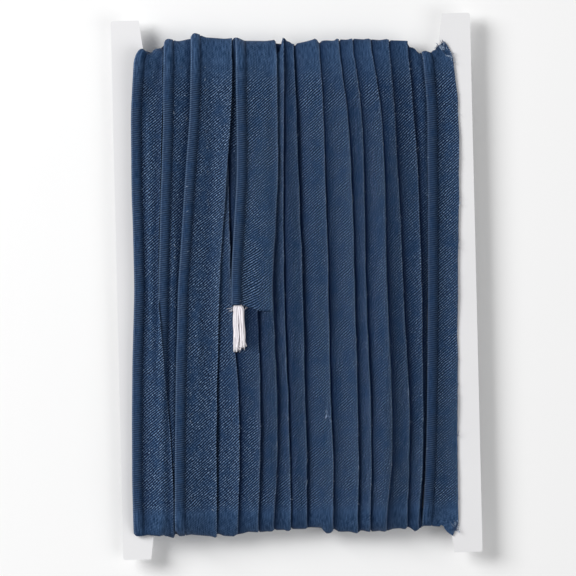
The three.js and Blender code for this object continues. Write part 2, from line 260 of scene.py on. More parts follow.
def course(number):
    """The cord's left and the raw edge of a turn at each station."""
    lines = []
    for key, offset in (("left", -STRIP), ("raw", STRIP)):
        other = "raw" if key == "left" else "left"
        rows = [turn.get(key) or [v + offset for v in turn[other]] for turn in TURNS]
        before, here = rows[max(number - 1, 0)], rows[number]
        after = rows[min(number + 1, len(rows) - 1)]
        line = read_row(here, height_up)
        share = (station_y + NOTCH_FLOOR) / (2 * NOTCH_FLOOR)
        line[upper_back] = (before[-1] + (here[0] - before[-1]) * share)[upper_back]
        line[lower_back] = (here[-1] + (after[0] - here[-1]) * share)[lower_back]
        if key == "raw" and (number == OVER_TUCKED or number == TUCKED):
            behind = lower_back if number == OVER_TUCKED else upper_back
            line[behind] -= (TUCKED_WIDTH * smooth_step(0.3, 0, np.abs(share - 0.5)))[behind]
        lines.append(blurred(line[:, None], LEAN_SOFTNESS)[:, 0])
    left, raw = lines
    over_end = lip_share(angle)
    if number == FIRST:
        raw = raw - FIRST_TOP_LEAN * np.where(end > 0, over_end ** FIRST_TOP_CURVE, 0)
        raw = raw - FIRST_FOOT_LEAN * np.where(end < 0, smooth_step(0.8, 1, over_end), 0)
    if number == OVER_TUCKED:
        left = left + LEFT_TOP_LEAN * np.where(end > 0, over_end ** 2, 0)
    raw = raw + wander(STATIONS, 5, EDGE_WANDER, number)
    raw = raw + wander(STATIONS, 1.2, EDGE_WANDER / 2, FINE_EDGE_SEED + number)
    return left + wander(STATIONS, 9, EDGE_WANDER, CORD_LINE_SEED + number), raw


# How the turns lie on each other: a map of how far the outside of what is wound so far stands off the card,
# over stations and places across. Each turn comes to rest on it, and is then added to it.
ACROSS_STEP = 0.25
HALF_MAP = 52
across = np.arange(-HALF_MAP, HALF_MAP + ACROSS_STEP, ACROSS_STEP)
SLACK = 1.2
wound = np.zeros((STATIONS, len(across)))
wound += SLACK * smooth_step(-44, -37, across) * smooth_step(36, 31, across)


def settled(below):
    """The underside of cloth that is drawn over what lies below: it spans hollows and rounds over ridges."""
    rest = below
    for _ in range(5):
        rest = np.maximum(below, blurred(rest, 5, 3))
    return np.maximum(blurred(rest, 2, 1.4), below)


def sample(heights, x):
    """A map's heights at places between its own."""
    place = np.clip((x - across[0]) / ACROSS_STEP, 0, len(across) - 1.001)
    low = place.astype(int)
    share = place - low
    return np.take_along_axis(heights, low, 1) * (1 - share) + np.take_along_axis(heights, low + 1, 1) * share


CORD_HOLD = 0.5
CORD_FALL = 0.3
CORD_UNEVEN = 0.02
TUCKED_PRESS = 0.2
SEAM_DIP = 0.25
RAW_CURL = 0.2
CURL_UNEVEN = 0.6
FLUTTER = 0.06
TUCK_DROOP = 1.2


class Turn:
    """One turn as it lies: its course, what it rests on, and its heights at places across it."""

    def __init__(self, number, below):
        self.number = number
        self.left, self.raw = course(number)
        self.width = self.raw - self.left
        self.rest = settled(below)
        if number == OVER_TUCKED:
            drooping = TUCK_DROOP * smooth_step(4.5, 1, np.abs(self.raw[:, None] - across))
            self.rest = np.maximum(below, self.rest - drooping)
        roundness = np.full(STATIONS, float(TURNS[number]["cord"]))
        if number == TUCKED:
            roundness -= TUCKED_PRESS * smooth_step(-12, -45, height_up)
        uneven = wander(STATIONS, 6, CORD_UNEVEN, CORD_SIZE_SEED + number)
        self.radius_up = CORD / 2 * roundness * (1 + uneven)
        seats = [sample(self.rest, (self.left + CORD * part)[:, None])[:, 0] for part in (0.2, 0.5, 0.8)]
        self.seat = blurred(np.max(seats, axis=0)[:, None], 3)[:, 0]
        curled = 0 if number == OVER_TUCKED else RAW_CURL
        uneven = wander(STATIONS, 6, CURL_UNEVEN, CURL_SEED + number)
        self.curl = curled * np.clip(uneven + CURL_UNEVEN, 0, 2)
        self.flutter = wander(STATIONS, 9, FLUTTER, FLUTTER_SEED + number)

    def under(self, u):
        """The height of the flange's underside, u across from the cord's left."""
        rest = sample(self.rest, self.left[:, None] + u)
        held = (self.seat + CORD_HOLD * self.radius_up)[:, None] - CORD_FALL * (u - CORD)
        rest = np.maximum(rest, held)
        if self.number == DIVING:
            start = read_row(DIVE_FROM, height_up)[:, None]
            share = smooth_step(start - 0.8, turns[FIRST].left[:, None] - 0.1, self.left[:, None] + u)
            rest = rest * (1 - share) + DIVE_FLOOR * share
        return rest

    def over(self, u):
        """The height of the strip's upper side."""
        flange = self.under(u) + PLIES - SEAM_DIP * smooth_step(0.55, 0, np.abs(u - CORD))
        if self.number != DIVING:
            flange += self.curl[:, None] * smooth_step(1.8, 0, self.width[:, None] - u)
        flange += self.flutter[:, None] * smooth_step(CORD, CORD + 3, u)
        bulge = np.sqrt(np.clip(1 - (2 * u / CORD - 1) ** 2, 0, 1))
        cord = self.seat[:, None] + self.radius_up[:, None] * (1 + bulge)
        return np.where(u < CORD, cord, flange)


turns = {}
CLEARANCE = 0.04
laid = [*range(0, OVER_TUCKED), TUCKED, OVER_TUCKED, *range(TUCKED + 1, len(TURNS))]
for number in laid:
    turn = Turn(number, wound)
    u = across - turn.left[:, None]
    on_strip = (u >= 0) & (u <= turn.width[:, None])
    if number == FIRST:
        on_strip &= (~upper_back)[:, None]
    if number == LOOSE:
        on_strip &= (~at_front & ~lower_back & (end >= 0))[:, None]
    wound = np.where(on_strip, np.maximum(wound, turn.over(u) + CLEARANCE), wound)
    turns[number] = turn

# How far the winding reaches at the card's top and at its foot, as read along both, and the slack that each
# needs there over what the turns' own thickness makes.
TOP_REACH = [
    (-47, 66.5), (-41.2, 66.5), (-40.3, 66), (-37.6, 65.9), (-37.3, 66.5), (-36.8, 67), (-36, 67.2),
    (-35.5, 67.1), (-35.3, 68.7), (-34.9, 69.5), (-34.1, 69.8), (-33.2, 69.6), (-31.6, 69), (-30.5, 69.1),
    (-28.2, 69.6), (-27.8, 70.2), (-27.4, 70.9), (-26.7, 71.2), (-25.8, 71), (-24.8, 70.4), (-23.6, 69.9),
    (-20.5, 69.6), (-18.4, 69.4), (-16.6, 69.5), (-15.8, 69.7), (-14.7, 69.6), (-13.5, 69), (-12.8, 68.7),
    (-6.9, 68.5), (-4.2, 68.8), (-4.05, 66), (-2.65, 65.8), (-2.5, 69.4), (-1.7, 69.2), (-1.5, 68.4),
    (-0.6, 68.3), (0.4, 67.5), (1, 67.5), (4.2, 68.1), (6.2, 68.6), (6.8, 68.9), (7.3, 68.5), (7.9, 67.5),
    (8.6, 68.2), (9.8, 68.3), (12, 68.1), (12.9, 68.8), (13.3, 68.5), (15.6, 68.3), (16.8, 68.6),
    (20.6, 68.3), (21.5, 68.6), (22, 68.3), (24.8, 68), (26.7, 68.3), (27.6, 67.9), (32.7, 67.6),
    (32.9, 65.9), (33.9, 65.7), (34.7, 65.2), (35.4, 64.1), (35.9, 64), (36.4, 64.5), (37.2, 64.8),
    (38.1, 64.5), (38.9, 64.1), (39.4, 64.7), (40.3, 64.9), (40.6, 65.8), (41.4, 66.2), (42.8, 67.1),
    (47, 67.1),
]
FOOT_REACH = [
    (-47.6, 67), (-46.9, 67.6), (-46.3, 68.4), (-45, 68.5), (-43.2, 68.1), (-40.1, 68.5), (-37.6, 68.7),
    (-35.8, 69.3), (-35.5, 68.4), (-35.3, 67), (-34.9, 68.1), (-34.4, 68.7), (-33.7, 68.8), (-31.2, 68.4),
    (-25.4, 69), (-24.1, 69.5), (-23.4, 68.3), (-21.8, 69), (-18.9, 69.2), (-18.4, 68.7), (-16.5, 68.4),
    (-15, 68), (-12.3, 68.2), (-9.6, 68), (-8.4, 68.2), (-8.2, 67.7), (-5, 67.7), (-3.9, 68.2),
    (-3.3, 67.7), (-2.9, 67.5), (0.5, 67.6), (1.1, 67.5), (1.6, 67.1), (5.1, 67.3), (5.7, 67.7),
    (6.2, 68.7), (6.9, 69), (7.9, 68.9), (8.5, 68.3), (8.9, 67.7), (9.4, 68.1), (10.2, 68.6),
    (13.2, 68.6), (14.8, 69.1), (15.4, 69.1), (15.8, 68.5), (16.6, 68.3), (18.3, 68.8), (21.5, 68.6),
    (22.8, 68.9), (25.2, 68.1), (27.2, 68), (28.6, 68.4), (29.3, 67.6), (30.2, 68), (31.4, 69.1),
    (32.1, 68.6), (33.2, 67.9), (33.7, 67.5), (35.4, 67.5), (38.2, 67.8), (39.9, 68.1), (40.7, 68.8),
    (41.4, 69.8), (41.9, 70.5), (47, 70.5),
]
# The winding's heights with its ridges and lanes evened out
EVEN_ALONG = 3
EVEN_ACROSS = 7
evened = blurred(wound, EVEN_ALONG, EVEN_ACROSS)


def crest_slack(reach, which):
    places, values = zip(*reach)
    wanted = np.interp(across, places, values) - NOTCH_FLOOR
    equator = np.argmin(np.where(end == which, np.abs(angle), 9))
    return wanted - evened[equator]


slack_at = {1: crest_slack(TOP_REACH, 1), -1: crest_slack(FOOT_REACH, -1)}

# Where the turns are drawn tight, their relief is pressed flatter: round the ends, and right of the middle
# towards the top.
CREST_TIGHT = 1
TOP_TIGHT = 0.6
tight = CREST_TIGHT * crest[:, None] ** 3 + 0 * across
tight_top = TOP_TIGHT * smooth_step(5, 55, height_up)[:, None] * smooth_step(1, 6, across)
tight_top = tight_top * smooth_step(34, 31, across)
tight = np.maximum(tight, np.where((side < 0)[:, None], 0, tight_top))

# From a turn's own measures to its place: off the card's face at the front and the back, round the floor of
# the notch at the ends, and pressed in between the card's prongs there. What is further out than the prongs'
# inner edges passes over them first, and turns in behind the winding's own outline.
BACK_ROOM = 5.17
BACK_SOFT = 4.1
THROAT = 40.2
SQUEEZED_FROM = 38.5
SQUEEZED_TO = {(1, -1): 43.5, (-1, -1): 47.6, (1, 1): 45, (-1, 1): 43.6}
OVER_PRONG = 0.8
LIP_TUCK = 0.15
NESTED = 0.9
SEAM_ROLL = 2
SEAM_ROLL_AT = (-41, -38.4, -35.5)


def flattened(depth):
    """A depth at the back, where the winding is pressed on the table."""
    room = BACK_ROOM - BACK_SOFT
    return np.where(depth > BACK_SOFT, BACK_SOFT + room * (1 - np.exp(-(depth - BACK_SOFT) / room)), depth)


def placed(x, height, rows, starts=False):
    """Places in the frame of points at x across and height off the card, for rows of stations. starts: the
    strip starts at the top, with its cut end over the prong."""
    even, press = sample(evened[rows], x), sample(tight[rows], x)
    nested = smooth_step(0.1, 0.7, sample(wound[rows], x) - height)
    over = smooth_step(THROAT - 2, THROAT - 0.5, np.abs(x))
    drawn_over = np.where(end[rows] == 0, 0, lip_share(angle[rows]) ** 3)[:, None]
    press = np.maximum(press, CREST_TIGHT * over * drawn_over)
    height = height + (even - height) * press
    place_y, place_side = station_y[rows][:, None], side[rows][:, None]
    place_end, turned = end[rows][:, None], angle[rows][:, None]
    depth = CARD_FACE + height
    y = np.where(place_end == 0, place_y, 0)
    z = np.where(place_side > 0, depth, -flattened(depth))
    steep = np.abs(turned)
    placed_x = x
    for which, slack in slack_at.items():
        at_end = place_end == which
        open_start = starts and which == 1
        turns_in = 0 if open_start else smooth_step(LIP_TURN / 2, 0, steep)
        outward = np.cos(turned) * (1 - over) + lip_share(turned) * over
        if not open_start:
            outward = outward - LIP_TUCK * over * smooth_step(LIP_TURN, 0, steep)
        loose = np.interp(x, across, slack)
        reach = height + (np.maximum(loose, -0.7 * height) - NESTED * nested) * outward ** 2
        sine = np.maximum(np.abs(np.sin(turned)), 0.6 * over if open_start else 0)
        signed = np.where(turned < 0, -flattened(depth), depth) * sine
        kept = np.hypot(signed, OVER_PRONG * outward) * np.where((turned < 0) & (not open_start), -1, 1)
        signed = signed + over * (1 - turns_in) * (kept - signed)
        y = np.where(at_end, which * (NOTCH_FLOOR + reach * outward), y)
        z = np.where(at_end, signed, z)
        if which == 1:
            rolled = np.interp(x, SEAM_ROLL_AT, (0, SEAM_ROLL, 0)) * outward ** 2
            placed_x = np.where(at_end, placed_x - rolled, placed_x)
        if open_start:
            continue
        share = smooth_step(LIP_TURN, LIP_TURN * 0.4, steep)
        for hand in (-1, 1):
            out = hand * placed_x - SQUEEZED_FROM
            room = (THROAT - SQUEEZED_FROM) / (SQUEEZED_TO[which, hand] - SQUEEZED_FROM)
            squeezed = hand * (SQUEEZED_FROM + out * room)
            placed_x = np.where(at_end & (out > 0), placed_x + (squeezed - placed_x) * share, placed_x)
    return np.stack([placed_x + 0 * y, y + 0 * x, CARD_MIDDLE + z], axis=-1)


# The section of a strip, as columns from its raw edge over the flange, the seam and the cord, and back below
# the flange. The cloth's own pattern runs along the strip and across this section.
FLANGE_SHARES = [1, 0.975, 0.93, 0.86, 0.78, 0.7, 0.62, 0.54, 0.46, 0.38, 0.29, 0.19, 0.1, 0.04]
CORD_ANGLES = [15, 45, 75, 100, 122, 148, 172, 200, 240]
# Painted highlight on the cord's left flank, which faces the main light, at these angles round the cord
FLANK_SHINE = {148: 1, 172: 0.6}
# Painted shade: a darker line high on the cord's left
FLANK_SHADE = {122: 0.3}
UNDER_SHARES = [0.03, 0.35, 0.85, 0.995]
CORD_CLOTH = 0.5
# Painted shade in the seam beside the cord
SEAM_SHADE = 0.35
SUNK = 0.5
# How far over the top the winding ends and the loose end begins
LOOSE_FROM = math.radians(8)


def strip_section(turn, rows, sink=SUNK):
    """x across and height of each column, its place across the cloth, and its marks: how near it is to the
    raw edge, how much painted shade it takes in the seam and high on the cord's left, and whether it is on
    the cord, more than half where its left flank takes a painted highlight."""
    flange = (turn.width - CORD)[:, None]
    left, cloth, marks = turn.left[:, None], [], []
    x, height = [], []
    for share in FLANGE_SHARES:
        u = CORD + flange * share
        x.append(left + u)
        height.append(turn.over(u))
        cloth.append(flange * share)
        marks.append((share, 0, 0))
    u = np.full((STATIONS, 1), CORD + 0.08)
    x.append(left + u)
    height.append(turn.under(u) + PLIES - SEAM_DIP)
    cloth.append(0 * flange)
    marks.append((0, SEAM_SHADE, 0))
    for degrees in CORD_ANGLES:
        turned = math.radians(degrees)
        x.append(left + CORD / 2 * (1 + math.cos(turned)))
        height.append((turn.seat + turn.radius_up * (1 + math.sin(turned)))[:, None])
        cloth.append(0 * flange - CORD_CLOTH * CORD / 2 * turned)
        marks.append((0, FLANK_SHADE.get(degrees, 0), 0.5 + 0.5 * FLANK_SHINE.get(degrees, 0)))
    for share in UNDER_SHARES:
        u = CORD + flange * share
        lowered = turn.under(u) - sink * (share < 0.99)
        x.append(left + u)
        height.append(np.maximum(lowered, 0.02))
        cloth.append(0 * flange - CORD * 2 - flange * share)
        marks.append((share ** 4, 0, 0))
    columns = [np.concatenate(rowset, axis=1) for rowset in (x, height, cloth)]
    return [column[rows] for column in columns], marks


CLOTH_SCALE = 10


def mesh_of(builder, name):
    mesh = bpy.data.meshes.new(name)
    builder.to_mesh(mesh)
    builder.free()
    return mesh


def add_piece(name, mesh):
    piece = bpy.data.objects.new(name, mesh)
    bpy.context.scene.collection.objects.link(piece)
    return piece


def strip_mesh(name, places, cloth, marks, closed):
    """A piece over rows and columns of places. cloth: places along and across the cloth, for its pattern.
    The grid starts flat, and its corners then move to their places. closed: its loops and ends are joined."""
    rows, columns = places.shape[:2]
    builder = bmesh.new()
    builder.loops.layers.uv.new("cloth")
    bmesh.ops.create_grid(builder, x_segments=columns - 1, y_segments=rows - 1, size=1, calc_uvs=True)
    mesh = mesh_of(builder, name)
    flat = np.empty(len(mesh.vertices) * 3)
    mesh.vertices.foreach_get("co", flat)
    flat = flat.reshape(-1, 3)
    column = np.rint((flat[:, 0] + 1) / 2 * (columns - 1)).astype(int)
    row = np.rint((flat[:, 1] + 1) / 2 * (rows - 1)).astype(int)
    mesh.vertices.foreach_set("co", (places[row, column] * MM).ravel())
    corner = np.empty(len(mesh.loops), dtype=np.int32)
    mesh.loops.foreach_get("vertex_index", corner)
    pattern = cloth[row[corner], column[corner]] * MM * CLOTH_SCALE
    mesh.uv_layers["cloth"].data.foreach_set("uv", pattern.ravel())
    layer = mesh.attributes.new("marks", "FLOAT_COLOR", "POINT")
    layer.data.foreach_set("color", marks[row, column].ravel())
    builder = bmesh.new()
    builder.from_mesh(mesh)
    if closed:
        bmesh.ops.remove_doubles(builder, verts=builder.verts, dist=1e-7)
        bmesh.ops.holes_fill(builder, edges=[edge for edge in builder.edges if edge.is_boundary])
        bmesh.ops.recalc_face_normals(builder, faces=builder.faces)
    for face in builder.faces:
        face.smooth = True
    builder.to_mesh(mesh)
    builder.free()
    return add_piece(name, mesh)


# The hollows beside the raw edges and the cords catch little light, so painted shade darkens and blues their
# colour.
HOLLOW_REACH = 4
HOLLOW_DEPTH = 0.45
HOLLOW_PAINTED_SHADE = 0.6
LANE_PAINTED_SHADE = 0.5
LANE_REACH = 4
CREASE_PAINTED_SHADE = 0.55
CREASE_REACH = 0.9
FIRST_LANE_PAINTED_SHADE = 0.25
# The patch below the loose end, beside its bare cord, where the shadow of the loose end and its strands is
# # painted: which turn it is on, how dark the painted shadow is, and where it starts and ends
UNDER_CORE = 11
UNDER_CORE_PAINTED_SHADOW = 0.65
UNDER_CORE_TOP = (-3.5, -5)
UNDER_CORE_FOOT = (-20, -15)
UNDER_CORE_LEFT = (-15, -14)
# Where the cloth is drawn smooth over the ends, at the top and at the foot, and takes a painted sheen
SMOOTH_FROM = {1: 54, -1: 59}
SMOOTH_TO = 63.5
around = blurred(wound, 2, HOLLOW_REACH)


def strip_marks(number, x, height, columns, rows):
    """Four marks at each place: how far it is over the end, the raw edge, how much painted shade it takes
    where it lies deep, in the lanes and creases beside a raw edge and below the loose end, and the cord.
    """
    marks = np.zeros((*x.shape, 4))
    smooth_top = smooth_step(SMOOTH_FROM[1], SMOOTH_TO, station_y)
    smooth_foot = smooth_step(SMOOTH_FROM[-1], SMOOTH_TO, -station_y)
    marks[..., 0] = np.where(end == 0, smooth_top + smooth_foot, 1)[rows][:, None]
    marks[..., 1:] = np.array(columns)
    # Painted shade where the cloth lies below the evened winding around it
    deep = np.clip(sample(around[rows], x) - height, 0, None)
    painted_shade = HOLLOW_PAINTED_SHADE * (1 - np.exp(-deep / HOLLOW_DEPTH))
    if number < OVER_TUCKED:
        # Painted shade in the crease and lane right of the covering raw edge, stronger at mid-height than at
        # the ends
        beside = np.clip(x - turns[number + 1].raw[rows][:, None], 0, None)
        crease, lane = (0, FIRST_LANE_PAINTED_SHADE) if number == FIRST else (CREASE_PAINTED_SHADE, LANE_PAINTED_SHADE)
        lane = lane * (1.2 - 0.5 * (station_y[rows] / NOTCH_FLOOR) ** 2)[:, None]
        shaded = crease * np.exp(-beside / CREASE_REACH) + lane * np.exp(-beside / LANE_REACH)
        painted_shade = np.minimum(np.maximum(painted_shade, shaded), 0.9)
    # Painted shadow of the loose end and its cotton strands on the turn below them
    if number == UNDER_CORE:
        y = np.where(at_front, station_y, 99)[rows][:, None]
        shaded = smooth_step(*UNDER_CORE_FOOT, y) * smooth_step(*UNDER_CORE_TOP, y)
        painted_shade = np.maximum(painted_shade, UNDER_CORE_PAINTED_SHADOW * shaded * smooth_step(*UNDER_CORE_LEFT, x))
    marks[..., 2] = np.maximum(marks[..., 2], painted_shade)
    return marks


# Where two turns of a piece meet, at the back, their rows are evened out over some stations to both sides.
JOINT_REACH = 12
JOINT_SOFTNESS = 3
MEASURED_COLUMN = 4


def length_along(places):
    """The length of the strip up to each row, as measured along its flange."""
    run = np.linalg.norm(np.diff(places[:, MEASURED_COLUMN], axis=0), axis=1)
    return np.concatenate([[0], np.cumsum(run)])


def strip_rows(numbers):
    """The places, cloth places and marks of some turns on end, as they follow each other along the strip."""
    places, cloth, marks, joints = [], [], [], []
    for number in numbers:
        rows = np.ones(STATIONS, dtype=bool)
        if number == FIRST:
            rows = ~upper_back & ~((end == 1) & (angle < 0))
        if number == LOOSE:
            rows = upper_back | ((end == 1) & (angle < LOOSE_FROM))
        (x, height, over_cloth), columns = strip_section(turns[number], rows)
        places.append(placed(x, height, rows, starts=number == FIRST))
        cloth.append(over_cloth)
        marks.append(strip_marks(number, x, height, columns, rows))
        joints.append(sum(len(part) for part in places))
    places, cloth, marks = (np.concatenate(parts) for parts in (places, cloth, marks))
    for joint in joints[:-1]:
        near = places[joint - 2 * JOINT_REACH:joint + 2 * JOINT_REACH]
        softened = blurred(near, JOINT_SOFTNESS)[JOINT_REACH:3 * JOINT_REACH]
        places[joint - JOINT_REACH:joint + JOINT_REACH] = softened
    along = length_along(places)
    pattern = np.stack([np.repeat(along[:, None], cloth.shape[1], 1), cloth], axis=-1)
    close = [np.concatenate([part, part[:, :1]], axis=1) for part in (places, pattern, marks)]
    close[1][:, -1, 1] = pattern[:, -1, 1] - PLIES
    return close


piping = []
for name, numbers in (
    ("piping_first_turns", range(0, 7)),
    ("piping_middle_turns", range(7, 14)),
    ("piping_last_turns", range(14, 20)),
):
    piece = strip_mesh(name, *strip_rows(numbers), closed=True)
    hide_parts("wound_piping")
    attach(piece, "root")
    piping.append(piece)


# The satin: a fine weave cut on the bias, so that its threads run in slanting lines over the flanges and in
# # short ribs over the cords. Single threads carry painted glints, and the raw edges are dotted with painted
# # highlights on their thread ends.
THREAD_SLANT = math.radians(40)
THREAD_PITCH = 0.58
THREAD_SHARPNESS = 1.8
THREAD_DRIFT = 0.7
CROSS_PITCH = 0.85
RIB_PITCH = 0.6
RIB_SLANT = 0.25
CLOTH_UNIT = 1 / (MM * CLOTH_SCALE)


def add_range(tree, value, low, high, to_low=0.0, to_high=1.0):
    """A value between low and high, stretched to another range and held within it."""
    return add_node(tree, "ShaderNodeMapRange", {0: value, 1: low, 2: high, 3: to_low, 4: to_high}).outputs[0]


def stretched(tree, place, scale):
    return add_node(tree, "ShaderNodeMapping", {"Vector": place, "Scale": scale}).outputs["Vector"]


def wave_lines(group, place, pitch):
    """Soft lines between 0 and 1, one to each pitch."""
    wave = math_node(group, "SINE", math_node(group, "MULTIPLY", place, 2 * math.pi / pitch))
    return math_node(group, "MULTIPLY_ADD", wave, 0.5, 0.5)


def weave_group():
    """The weave over the cloth's own places: its threads or cord ribs, which of them take a painted glint,
    and the wide clouds and drawn streaks in which the satin is smooth."""
    group = bpy.data.node_groups.new("bias_weave", "ShaderNodeTree")
    socket = group.interface.new_socket
    socket("Cloth", in_out="INPUT", socket_type="NodeSocketVector")
    socket("On Cord", in_out="INPUT", socket_type="NodeSocketFloat")
    for name in ("Threads", "Glints", "Clouds", "Streaks"):
        socket(name, in_out="OUTPUT", socket_type="NodeSocketFloat")
    given = group.nodes.new("NodeGroupInput").outputs
    made = group.nodes.new("NodeGroupOutput")
    in_millimetres = {0: given["Cloth"], "Scale": CLOTH_UNIT}
    cloth = add_node(group, "ShaderNodeVectorMath", in_millimetres, operation="SCALE").outputs["Vector"]
    part = add_node(group, "ShaderNodeSeparateXYZ", {0: cloth})
    along, over = part.outputs["X"], part.outputs["Y"]
    drift = add_noise(group, cloth, scale=0.3)
    climbing = math_node(group, "MULTIPLY", along, math.cos(THREAD_SLANT))
    drifted = math_node(group, "MULTIPLY_ADD", drift, THREAD_DRIFT, climbing)
    place = math_node(group, "MULTIPLY_ADD", over, math.sin(THREAD_SLANT), drifted)
    cross = math_node(group, "MULTIPLY", along, math.sin(THREAD_SLANT))
    cross = math_node(group, "MULTIPLY_ADD", over, -math.cos(THREAD_SLANT), cross)
    steps = wave_lines(group, cross, CROSS_PITCH)
    stepped = math_node(group, "MULTIPLY_ADD", steps, 0.4, 0.6)
    lines = math_node(group, "POWER", wave_lines(group, place, THREAD_PITCH), THREAD_SHARPNESS)
    thinning = add_noise(group, stretched(group, cloth, (1.7, 2.6, 1)), scale=1)
    uneven = add_range(group, thinning, 0.32, 0.68, 0.25, 1.35)
    flat = math_node(group, "MULTIPLY", math_node(group, "MULTIPLY", lines, stepped), uneven)
    ribs = wave_lines(group, math_node(group, "MULTIPLY_ADD", over, RIB_SLANT, along), RIB_PITCH)
    round_cord = math_node(group, "MULTIPLY_ADD", ribs, 0.25, 0.08)
    threads = add_node(group, "ShaderNodeMix", {0: given["On Cord"], 2: flat, 3: round_cord}).outputs[0]
    # Painted glints: single threads lit in random patches
    bright = add_range(group, add_noise(group, cloth, scale=1.6, detail=1), 0.3, 0.8)
    glints = math_node(group, "MULTIPLY", math_node(group, "POWER", threads, 2), bright)
    clouds = add_noise(group, cloth, scale=0.22, detail=3, roughness=0.6)
    streaks = add_noise(group, stretched(group, cloth, (0.5, 3.8, 1)), scale=1)
    results = {"Threads": threads, "Glints": glints, "Clouds": clouds, "Streaks": streaks}
    for name, value in results.items():
        group.links.new(value, made.inputs[name])
    return group


# The satin's colours: between its threads, on them and in their painted glints; where it is smooth, in the
# # clouds and over the ends, where streaks of painted sheen show; and in the hollows, as painted shade. The
# # marks weigh how much of each shows.
SATIN_DEEP = (0.0001, 0.003, 0.017, 1)
SATIN_SMOOTH_DARK = (0.005, 0.023, 0.066, 1)
SATIN_SMOOTH_LIGHT = (0.023, 0.06, 0.142, 1)
SATIN_LIGHT = (0.078, 0.17, 0.345, 1)
SATIN_PAINTED_GLINT = (0.42, 0.59, 0.84, 1)
SATIN_PAINTED_SHADE = (0.0002, 0.007, 0.034, 1)
SATIN_DULL = (0.012, 0.036, 0.088, 1)
SATIN_PAINTED_SHEEN = (0.046, 0.093, 0.19, 1)
END_SMOOTHNESS = 0.85
CLOUD_VEIL = 0.6
EDGE_DOTS = 30
DOT_LIGHT = 0.5


def satin_material():
    material, tree, shader = new_material("navy_satin", Roughness=0.55, Specular_IOR_Level=0.05)
    cloth = add_node(tree, "ShaderNodeUVMap", uv_map="cloth").outputs["UV"]
    marks = add_node(tree, "ShaderNodeAttribute", attribute_name="marks")
    mark = add_node(tree, "ShaderNodeSeparateColor", {0: marks.outputs["Color"]})
    roll, raw_edge, painted_shade = (mark.outputs[name] for name in ("Red", "Green", "Blue"))
    cord_mark = math_node(tree, "MULTIPLY", marks.outputs["Alpha"], 2.0)
    on_cord = math_node(tree, "MINIMUM", cord_mark, 1.0)
    flank = math_node(tree, "MAXIMUM", math_node(tree, "SUBTRACT", cord_mark, 1.0), 0.0)
    weave = add_node(tree, "ShaderNodeGroup", node_tree=weave_group())
    tree.links.new(cloth, weave.inputs["Cloth"])
    tree.links.new(on_cord, weave.inputs["On Cord"])
    crisp = math_node(tree, "MULTIPLY_ADD", roll, -END_SMOOTHNESS, 1.0)
    colour = mix_colours(tree, weave.outputs["Threads"], SATIN_DEEP, SATIN_LIGHT)
    # Painted glints, in the glint colour
    colour = mix_colours(tree, weave.outputs["Glints"], colour, SATIN_PAINTED_GLINT)
    veiled = add_range(tree, weave.outputs["Clouds"], 0.47, 0.64, 0, CLOUD_VEIL)
    streaked = add_range(tree, weave.outputs["Streaks"], 0.38, 0.62)
    smooth = mix_colours(tree, streaked, SATIN_SMOOTH_DARK, SATIN_SMOOTH_LIGHT)
    colour = mix_colours(tree, veiled, colour, smooth)
    # Over the ends: streaks between a dull and a shining colour, partly the smooth drawn cloth and partly
    # painted sheen
    drawn_and_painted_sheen = mix_colours(tree, streaked, SATIN_DULL, SATIN_PAINTED_SHEEN)
    colour = mix_colours(tree, crisp, drawn_and_painted_sheen, colour)
    # Painted highlights: dots in the glint colour along the raw edges and on the cords' left flanks
    at_edge = math_node(tree, "POWER", raw_edge, EDGE_DOTS)
    edge_dots = math_node(tree, "MULTIPLY", at_edge, weave.outputs["Threads"])
    flank_dots = math_node(tree, "MULTIPLY", flank, weave.outputs["Threads"])
    painted_highlight_dots = math_node(tree, "MAXIMUM", edge_dots, flank_dots)
    colour = mix_colours(tree, math_node(tree, "MULTIPLY", painted_highlight_dots, DOT_LIGHT), colour, SATIN_PAINTED_GLINT)
    # Painted shade: the dark blue hollow colour laid over the cloth, as far as the mark asks
    colour = mix_colours(tree, painted_shade, colour, SATIN_PAINTED_SHADE)
    tree.links.new(colour, shader.inputs["Base Color"])
    relief = math_node(tree, "MULTIPLY", weave.outputs["Threads"], crisp)
    add_relief(tree, shader, relief, strength=0.5, depth=0.12)
    return material


satin = satin_material()
for piece in piping:
    piece.data.materials.append(satin)

# The loose end: the last of the strip, over the top of the winding and down its front. It is the cloth
# itself, folded in two over the cord, with both raw edges open at its right, and cut off a little askew.
CUT_ACROSS = [0, 3.3, 7.4, 11.6]
CUT_HEIGHT = [-4.8, -4.9, -6.5, -6.8]
CUT_FROM = 20
LOWEST_CUT = min(CUT_HEIGHT)
CLOTH_THICKNESS = 0.2
loose_turn = turns[LOOSE]
rows = ((end == 1) & (angle >= LOOSE_FROM)) | (at_front & (station_y > LOWEST_CUT))
(x, height, over_cloth), columns = strip_section(loose_turn, rows, sink=0)
places = placed(x, height, rows)
cut = np.interp(x - loose_turn.left[rows][:, None], CUT_ACROSS, CUT_HEIGHT)
down = np.clip((CUT_FROM - places[..., 1]) / (CUT_FROM - LOWEST_CUT), 0, None)
below = places[..., 1] < CUT_FROM
places[..., 1] = np.where(below, CUT_FROM - (CUT_FROM - cut) * np.minimum(down, 1), places[..., 1])
along = length_along(places)
pattern = np.stack([np.repeat(along[:, None], x.shape[1], 1), over_cloth], axis=-1)
marks = strip_marks(LOOSE, x, height, columns, rows)
loose_end = strip_mesh("folded_loose_end", places, pattern, marks, closed=False)
folded = loose_end.modifiers.new("cloth", "SOLIDIFY")
folded.thickness = CLOTH_THICKNESS * MM
folded.offset = -1
loose_end.data.materials.append(satin)
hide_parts("loose_end")
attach(loose_end, "root")

